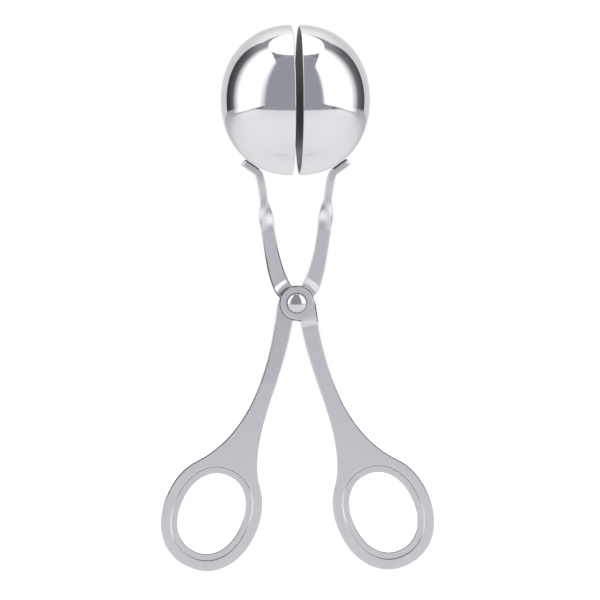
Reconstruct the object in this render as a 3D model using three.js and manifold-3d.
// Meatball scoop: two half-ball bowls on crossed sheet-steel arms that turn about one rivet.
// Millimetres. +Z runs up the tool, the pivot axis lies along Y and the front faces -Y.
// The origin is midway between the two finger loops, where the hand holds the tool.

import * as THREE from 'three';
import { mergeVertices } from 'three/addons/utils/BufferGeometryUtils.js';
import Module from 'manifold-3d';

// Bowls
const BALL_DIAMETER = 50; // across a rim
const BOWL_DEPTH = 23.6; // from the rim to the outside of the pole
const BOWL_WALL = 0.7;
const BOWL_FULLNESS = 2.12; // 2 is a plain ellipse, more is fuller
const CLOSED_GAP = 0.4; // between the tops of the rims when the bowls are squeezed shut
const BOWL_LEAN = 0.5; // degrees each bowl leans over, so that the rims meet at the top first
const PIVOT_TO_BALL = 67.7; // from the pivot up to the middle of the ball
const REST_OPENING = 1.36; // degrees between the two arms as the tool lies

// Sheet steel of the arms
const SHEET = 2.4;
const EDGE_CHAMFER = 0.25;

// Pivot
const BOSS_RADIUS = 5.8;
const BOSS_GAP = 0.3; // between the two stacked bosses
const BOSS_CLEARANCE = 0.4; // from a boss to the ramp of the other arm
const RAMP_LENGTH = 2.1; // of the joggle that brings an arm back to the middle plane
const BACK_STEM_RAMP = 20; // the back handle comes back to it more gently
const PIVOT_HOLE_RADIUS = 2.1;
const SHANK_CLEARANCE = 0.1;
const RIVET_PLAY = 0.1; // between a boss and the rivet's head or tail
const HEAD_RADIUS = 3.4;
const HEAD_HEIGHT = 1.9;
const TAIL_RADIUS = 3.2;
const TAIL_HEIGHT = 1.2;
const TAIL_ROUND = 0.5;

// Upper strip, from the boss to the bowl
const STRIP_ROOT_WIDTH = 5.6;
const STRIP_WIDTH = 4.5; // at the twist
const ROOT_TAPER = 16; // length in which the root narrows to the strip
const ROOT_PULL_OUT = 9.5; // how the strip leaves the pivot
const ROOT_PULL_UP = 4.5;
const TOP_PULL_IN = 2.9; // how it reaches the bend
const TOP_PULL_DOWN = 11.5;
const TWIST_LENGTH = 10; // of the quarter turn
const TWIST_TO_BEND = 8; // from the end of the turn to the bend
const BEND_SETBACK = 1.2; // from the corner to where its round begins

// Weld tab under the bowl
const WELD_FROM_RIM = 13.7; // from the rim plane to the middle of the weld
const WELD_GAP = 0.3;
const TAB_BEFORE_WELD = 4;
const TAB_PAST_WELD = 2.4;
const TAB_WIDTH = 6;
const TAB_CORNER = 1.5;

// Handle stem
const SHOULDER_OUT = 6.5; // outer corner of the stem beside the boss
const SHOULDER_DROP = 2.2;
const CROTCH_OUT = 1; // inner corner of the stem
const CROTCH_DROP = 4.5;
const STEM_LEAN = 6.3; // degrees from the tool's axis at the boss
const OUTER_PULL_BOSS = 26;
const OUTER_PULL_LOOP = 16.5;
const INNER_PULL_BOSS = 20;
const INNER_PULL_LOOP = 17.5;

// Finger loop
const LOOP_REACH = 75.75; // from the pivot to the middle of the finger hole
const LOOP_SPREAD = 21.6; // degrees from the tool's axis, with the bowls shut
const LOOP_LEAN = 23.6; // degrees of the hole's long axis from the tool's axis
const LOOP_FULLNESS = 2.15;
const LOOP_JOIN = 135; // degrees round the loop from its toe to where the stem flows in
const LOOP_BAND = 5.6; // steel round the hole
const HOLE_LENGTH = 27.5;
const HOLE_WIDTH = 21.1;
const COIN_WIDTH = 2.2; // of the pressed step round the hole
const COIN_DEPTH = 0.35;

// Fineness of the curved surfaces
const BOWL_SEGMENTS = 56;
const BOWL_RINGS = 14;
const ROUND_SEGMENTS = 36;
const DOME_RINGS = 8;
const ROUND_RINGS = 4;
const LOOP_SEGMENTS = 64;
const STRIP_STEPS = 60;
const CORNER_STEPS = 5;
const STEM_STEPS = 26;
const STEM_CROWDING = 1.5; // more than 1 crowds the steps towards the boss
const LINE_DIVISIONS = 400;
const HEADING_STEP = 0.001; // radians round the loop, to find its heading
const MERGE_DISTANCE = 0.0005;

const RIM_RADIUS = BALL_DIAMETER / 2;
const BOSS_OFFSET = (SHEET + BOSS_GAP) / 2;
const STACK_HALF = SHEET + BOSS_GAP / 2;
const FRONT = -1;
const BACK = 1;
const FRONT_NORMAL = new THREE.Vector3(0, -1, 0);
const PIVOT = new THREE.Vector3(0, 0, 0);
const RIM_TOP = new THREE.Vector2(-CLOSED_GAP / 2, PIVOT_TO_BALL + RIM_RADIUS); // in the XZ plane
const BOWL_TURN = THREE.MathUtils.degToRad(BOWL_LEAN);

const wasm = await Module();
wasm.setup();

// A solid for joining and cutting, from a closed geometry.
function solidFrom(geometry) {
  const bare = geometry.clone();
  bare.deleteAttribute('normal');
  bare.deleteAttribute('uv');
  const merged = mergeVertices(bare, MERGE_DISTANCE);
  const corners = merged.index.array;
  const kept = [];
  for (let i = 0; i < corners.length; i += 3) {
    const [a, b, c] = [corners[i], corners[i + 1], corners[i + 2]];
    if (a !== b && b !== c && c !== a) {
      kept.push(a, b, c);
    }
  }
  const vertProperties = new Float32Array(merged.attributes.position.array);
  return new wasm.Manifold(new wasm.Mesh({ numProp: 3, vertProperties, triVerts: new Uint32Array(kept) }));
}

// The geometry of a finished solid.
function geometryFrom(solid) {
  const mesh = solid.getMesh();
  const geometry = new THREE.BufferGeometry();
  geometry.setAttribute('position', new THREE.BufferAttribute(mesh.vertProperties, 3));
  geometry.setIndex(new THREE.BufferAttribute(mesh.triVerts, 1));
  geometry.computeVertexNormals();
  return geometry;
}

// A sine or cosine bent so that the outline it makes is fuller than an ellipse, for a fullness above 2.
function rounded(value, fullness) {
  return Math.sign(value) * Math.abs(value) ** (2 / fullness);
}

// Half-ball shell, turned about X, open towards +X. It leans over about the top of its rim.
function bowlGeometry() {
  const skin = (radius, depth, turn) => new THREE.Vector2(
    radius * rounded(Math.sin(turn), BOWL_FULLNESS),
    depth * rounded(Math.cos(turn), BOWL_FULLNESS),
  );
  const profile = [];
  for (let i = 0; i <= BOWL_RINGS; i += 1) {
    const turn = (Math.PI / 2) * (i / BOWL_RINGS);
    profile.push(skin(RIM_RADIUS, BOWL_DEPTH, turn));
  }
  for (let i = BOWL_RINGS; i >= 0; i -= 1) {
    const turn = (Math.PI / 2) * (i / BOWL_RINGS);
    profile.push(skin(RIM_RADIUS - BOWL_WALL, BOWL_DEPTH - BOWL_WALL, turn));
  }
  profile.reverse();
  const shell = new THREE.LatheGeometry(profile, BOWL_SEGMENTS);
  shell.rotateZ(Math.PI / 2);
  shell.translate(0, 0, -RIM_RADIUS);
  shell.rotateY(BOWL_TURN);
  shell.translate(RIM_TOP.x, 0, RIM_TOP.y);
  return geometryFrom(solidFrom(shell));
}

// Middle of the weld on the bowl's outside, and the direction square to the bowl there.
function weldPlace() {
  const outShare = WELD_FROM_RIM / BOWL_DEPTH;
  const dropShare = (1 - outShare ** BOWL_FULLNESS) ** (1 / BOWL_FULLNESS);
  const point = RIM_TOP.clone().add(new THREE.Vector2(-WELD_FROM_RIM, -RIM_RADIUS * (1 + dropShare)));
  const normal = new THREE.Vector2(
    -(outShare ** (BOWL_FULLNESS - 1)) / BOWL_DEPTH,
    -(dropShare ** (BOWL_FULLNESS - 1)) / RIM_RADIUS,
  );
  return {
    point: point.rotateAround(RIM_TOP, -BOWL_TURN),
    normal: normal.rotateAround(new THREE.Vector2(), -BOWL_TURN).normalize(),
  };
}

// Middle line of the upper strip in the XZ plane: out of the pivot, up to the bend, along the tab.
function stripLine() {
  const weld = weldPlace();
  const along = new THREE.Vector2(weld.normal.y, -weld.normal.x);
  const underWeld = weld.point.clone().addScaledVector(weld.normal, WELD_GAP + SHEET / 2);
  const corner = underWeld.clone().addScaledVector(along, -TAB_BEFORE_WELD);
  const tip = underWeld.clone().addScaledVector(along, TAB_PAST_WELD);
  const topPull = corner.clone().add(new THREE.Vector2(TOP_PULL_IN, -TOP_PULL_DOWN));
  const arriving = corner.clone().sub(topPull).normalize();
  const bendStart = corner.clone().addScaledVector(arriving, -BEND_SETBACK);
  const bendEnd = corner.clone().addScaledVector(along, BEND_SETBACK);
  const line = new THREE.Path();
  line.moveTo(0, 0);
  line.bezierCurveTo(-ROOT_PULL_OUT, ROOT_PULL_UP, topPull.x, topPull.y, bendStart.x, bendStart.y);
  const toBend = line.getLength();
  line.quadraticCurveTo(corner.x, corner.y, bendEnd.x, bendEnd.y);
  line.lineTo(tip.x, tip.y);
  line.arcLengthDivisions = LINE_DIVISIONS;
  line.updateArcLengths();
  return { line, toBend };
}

// Share of the boss's sideways offset that is left where a section passes this near the pivot.
function joggle(near, ramp) {
  const start = BOSS_RADIUS + BOSS_CLEARANCE;
  return 1 - THREE.MathUtils.smoothstep(near, start, start + ramp);
}

// Shortest distance from the pivot to a section of the given middle, direction and width.
function nearPivot(middle, across, width) {
  const start = middle.clone().addScaledVector(across, -width / 2);
  const end = middle.clone().addScaledVector(across, width / 2);
  const closest = new THREE.Vector3();
  new THREE.Line3(start, end).closestPointToPoint(PIVOT, true, closest);
  return closest.length();
}

// Closed band of sheet through a row of sections. Each has a middle, a direction across its width,
// a direction through its thickness and a width, and its four long edges are chamfered.
function sheetBand(sections) {
  const positions = [];
  const indices = [];
  const sides = 8;
  const outer = SHEET / 2;
  const inner = outer - EDGE_CHAMFER;
  sections.forEach(({ middle, across, through, width }) => {
    const half = width / 2;
    const short = half - EDGE_CHAMFER;
    const ring = [
      [half, -inner], [half, inner], [short, outer], [-short, outer],
      [-half, inner], [-half, -inner], [-short, -outer], [short, -outer],
    ];
    ring.forEach(([aside, deep]) => {
      const point = middle.clone().addScaledVector(across, aside).addScaledVector(through, deep);
      positions.push(point.x, point.y, point.z);
    });
  });
  for (let k = 0; k + 1 < sections.length; k += 1) {
    for (let i = 0; i < sides; i += 1) {
      const near = k * sides + i;
      const nearNext = k * sides + ((i + 1) % sides);
      indices.push(near, nearNext, nearNext + sides, near, nearNext + sides, near + sides);
    }
  }
  const last = (sections.length - 1) * sides;
  for (let i = 1; i + 1 < sides; i += 1) {
    indices.push(0, i + 1, i, last, last + i, last + i + 1);
  }
  const band = new THREE.BufferGeometry();
  band.setAttribute('position', new THREE.Float32BufferAttribute(positions, 3));
  band.setIndex(indices);
  return solidFrom(band);
}

// Width of the upper strip at a distance along its middle line.
function stripWidth(distance, near, tabStart, length) {
  const narrowing = THREE.MathUtils.smoothstep(near, BOSS_RADIUS, BOSS_RADIUS + ROOT_TAPER);
  const widening = THREE.MathUtils.smoothstep(distance, tabStart - TWIST_TO_BEND, tabStart);
  const width = STRIP_ROOT_WIDTH
    + (STRIP_WIDTH - STRIP_ROOT_WIDTH) * narrowing
    + (TAB_WIDTH - STRIP_WIDTH) * widening;
  const intoCorner = THREE.MathUtils.clamp(distance - (length - TAB_CORNER), 0, TAB_CORNER);
  const cut = TAB_CORNER - Math.sqrt(TAB_CORNER ** 2 - intoCorner ** 2);
  return width - 2 * cut;
}

// Upper strip: joggled at the boss, turned a quarter on its way up, bent outwards under the bowl.
function upperStrip(bossSide) {
  const { line, toBend } = stripLine();
  const length = line.getLength();
  const twistEnd = toBend - TWIST_TO_BEND;
  const cornerStart = length - TAB_CORNER;
  const distances = [];
  for (let i = 0; i < STRIP_STEPS; i += 1) {
    distances.push(cornerStart * (i / STRIP_STEPS));
  }
  for (let i = 0; i <= CORNER_STEPS; i += 1) {
    distances.push(cornerStart + TAB_CORNER * Math.sin((Math.PI / 2) * (i / CORNER_STEPS)));
  }
  return sheetBand(distances.map((distance) => {
    const flat = line.getPointAt(distance / length);
    const heading = line.getTangentAt(distance / length);
    const travel = new THREE.Vector3(heading.x, 0, heading.y);
    const middle = new THREE.Vector3(flat.x, 0, flat.y);
    const across = FRONT_NORMAL.clone().cross(travel);
    const through = FRONT_NORMAL.clone();
    const near = nearPivot(middle, across, STRIP_WIDTH);
    const turned = THREE.MathUtils.clamp((distance - twistEnd) / TWIST_LENGTH + 1, 0, 1);
    across.applyAxisAngle(travel, turned * (Math.PI / 2));
    through.applyAxisAngle(travel, turned * (Math.PI / 2));
    middle.y = bossSide * BOSS_OFFSET * joggle(near, RAMP_LENGTH);
    return { middle, across, through, width: stripWidth(distance, near, toBend, length) };
  }));
}

// A point on the finger loop's outline, the given margin outside the hole. Angle 0 is the toe.
function loopPoint(margin, angle) {
  const spread = THREE.MathUtils.degToRad(LOOP_SPREAD);
  const lean = THREE.MathUtils.degToRad(LOOP_LEAN);
  const along = (HOLE_LENGTH / 2 + margin) * rounded(Math.cos(angle), LOOP_FULLNESS);
  const aside = (HOLE_WIDTH / 2 + margin) * rounded(Math.sin(angle), LOOP_FULLNESS);
  return new THREE.Vector2(
    LOOP_REACH * Math.sin(spread) + along * Math.sin(lean) + aside * Math.cos(lean),
    -LOOP_REACH * Math.cos(spread) - along * Math.cos(lean) + aside * Math.sin(lean),
  );
}

// One edge of the stem, from its corner at the boss to where it flows into the loop.
function stemEdge(start, bossPull, side, loopPull) {
  const lean = THREE.MathUtils.degToRad(STEM_LEAN);
  const angle = side * THREE.MathUtils.degToRad(LOOP_JOIN);
  const nudge = side * HEADING_STEP;
  const end = loopPoint(LOOP_BAND, angle);
  const flow = loopPoint(LOOP_BAND, angle - nudge).sub(loopPoint(LOOP_BAND, angle + nudge)).normalize();
  const leave = new THREE.Vector2(Math.sin(lean), -Math.cos(lean));
  return new THREE.CubicBezierCurve(
    start,
    start.clone().addScaledVector(leave, bossPull),
    end.clone().addScaledVector(flow, -loopPull),
    end,
  );
}

// Handle stem, a band of sheet between its two edges, joggled at the boss.
function handleStem(bossSide) {
  const shoulder = new THREE.Vector2(SHOULDER_OUT, -SHOULDER_DROP);
  const crotch = new THREE.Vector2(CROTCH_OUT, -CROTCH_DROP);
  const outerEdge = stemEdge(shoulder, OUTER_PULL_BOSS, 1, OUTER_PULL_LOOP);
  const innerEdge = stemEdge(crotch, INNER_PULL_BOSS, -1, INNER_PULL_LOOP);
  const ramp = bossSide === BACK ? BACK_STEM_RAMP : RAMP_LENGTH;
  const sections = [];
  for (let i = 0; i <= STEM_STEPS; i += 1) {
    const share = (i / STEM_STEPS) ** STEM_CROWDING;
    const outer = outerEdge.getPoint(share);
    const inner = innerEdge.getPoint(share);
    const middle = new THREE.Vector3((outer.x + inner.x) / 2, 0, (outer.y + inner.y) / 2);
    const across = new THREE.Vector3(outer.x - inner.x, 0, outer.y - inner.y);
    const width = across.length();
    across.normalize();
    middle.y = bossSide * BOSS_OFFSET * joggle(nearPivot(middle, across, width), ramp);
    sections.push({ middle, across, through: FRONT_NORMAL, width });
  }
  return sheetBand(sections);
}

// Slab of the loop's outline, a margin outside the hole, between two places along Y.
function loopSlab(margin, front, back, chamfer) {
  const outline = [];
  for (let i = 0; i < LOOP_SEGMENTS; i += 1) {
    outline.push(loopPoint(margin, (2 * Math.PI * i) / LOOP_SEGMENTS));
  }
  const slab = new THREE.ExtrudeGeometry(new THREE.Shape(outline), {
    depth: back - front - 2 * chamfer,
    bevelEnabled: chamfer > 0,
    bevelSegments: 1,
    bevelSize: chamfer,
    bevelThickness: chamfer,
    bevelOffset: -chamfer,
  });
  slab.rotateX(Math.PI / 2);
  slab.translate(0, back - chamfer, 0);
  return solidFrom(slab);
}

// Round disc about the pivot axis between two places along Y.
function pivotDisc(radius, front, back, chamfer) {
  const profile = [
    new THREE.Vector2(0, front),
    new THREE.Vector2(radius - chamfer, front),
    new THREE.Vector2(radius, front + chamfer),
    new THREE.Vector2(radius, back - chamfer),
    new THREE.Vector2(radius - chamfer, back),
    new THREE.Vector2(0, back),
  ];
  return solidFrom(new THREE.LatheGeometry(profile, ROUND_SEGMENTS));
}

// One whole arm, bowl end to the left and finger loop to the right, its boss to the front or back.
function armGeometry(bossSide) {
  const half = SHEET / 2;
  const bossMiddle = bossSide * BOSS_OFFSET;
  const boss = pivotDisc(BOSS_RADIUS, bossMiddle - half, bossMiddle + half, EDGE_CHAMFER);
  const arm = boss
    .add(upperStrip(bossSide))
    .add(handleStem(bossSide))
    .add(loopSlab(LOOP_BAND, -half, half, EDGE_CHAMFER))
    .subtract(pivotDisc(PIVOT_HOLE_RADIUS, -2 * STACK_HALF, 2 * STACK_HALF, 0))
    .subtract(loopSlab(0, -SHEET, SHEET, 0))
    .subtract(loopSlab(COIN_WIDTH, -SHEET, -half + COIN_DEPTH, 0))
    .subtract(loopSlab(COIN_WIDTH, half - COIN_DEPTH, SHEET, 0));
  return geometryFrom(arm);
}

// Rivet: domed head in front, shank through both bosses, clinched tail behind.
function rivetGeometry() {
  const underHead = -(STACK_HALF + RIVET_PLAY);
  const underTail = STACK_HALF + RIVET_PLAY;
  const shankRadius = PIVOT_HOLE_RADIUS - SHANK_CLEARANCE;
  const profile = [];
  for (let i = 0; i <= DOME_RINGS; i += 1) {
    const turn = (Math.PI / 2) * (i / DOME_RINGS);
    profile.push(new THREE.Vector2(
      HEAD_RADIUS * Math.sin(turn),
      underHead - HEAD_HEIGHT * Math.cos(turn),
    ));
  }
  profile.push(new THREE.Vector2(shankRadius, underHead));
  profile.push(new THREE.Vector2(shankRadius, underTail));
  profile.push(new THREE.Vector2(TAIL_RADIUS, underTail));
  for (let i = 0; i <= ROUND_RINGS; i += 1) {
    const turn = (Math.PI / 2) * (i / ROUND_RINGS);
    profile.push(new THREE.Vector2(
      TAIL_RADIUS - TAIL_ROUND * (1 - Math.cos(turn)),
      underTail + TAIL_HEIGHT - TAIL_ROUND * (1 - Math.sin(turn)),
    ));
  }
  profile.push(new THREE.Vector2(0, underTail + TAIL_HEIGHT));
  return geometryFrom(solidFrom(new THREE.LatheGeometry(profile, ROUND_SEGMENTS)));
}

const satinSteel = new THREE.MeshStandardMaterial({ color: 0xc3c5c8, roughness: 0.38, metalness: 1 });
const polishedSteel = new THREE.MeshStandardMaterial({ color: 0xdcdddf, roughness: 0.06, metalness: 1 });

function namedMesh(name, geometry, material) {
  const mesh = new THREE.Mesh(geometry, material);
  mesh.name = name;
  return mesh;
}

const halfOpening = THREE.MathUtils.degToRad(REST_OPENING / 2);

const frontHalf = new THREE.Group();
frontHalf.add(namedMesh('front_arm', armGeometry(FRONT), satinSteel));
frontHalf.add(namedMesh('left_bowl', bowlGeometry(), polishedSteel));
frontHalf.rotation.y = -halfOpening;

// The other half is the mirror image, with its boss behind.
const backHalf = new THREE.Group();
backHalf.add(namedMesh('back_arm', armGeometry(BACK), satinSteel));
backHalf.add(namedMesh('right_bowl', bowlGeometry(), polishedSteel));
backHalf.scale.x = -1;
backHalf.rotation.y = halfOpening;

const scoop = new THREE.Group();
scoop.name = 'meatball_scoop';
scoop.add(frontHalf);
scoop.add(backHalf);
scoop.add(namedMesh('pivot_rivet', rivetGeometry(), polishedSteel));
scoop.position.z = LOOP_REACH * Math.cos(THREE.MathUtils.degToRad(LOOP_SPREAD) + halfOpening);

export default scoop;
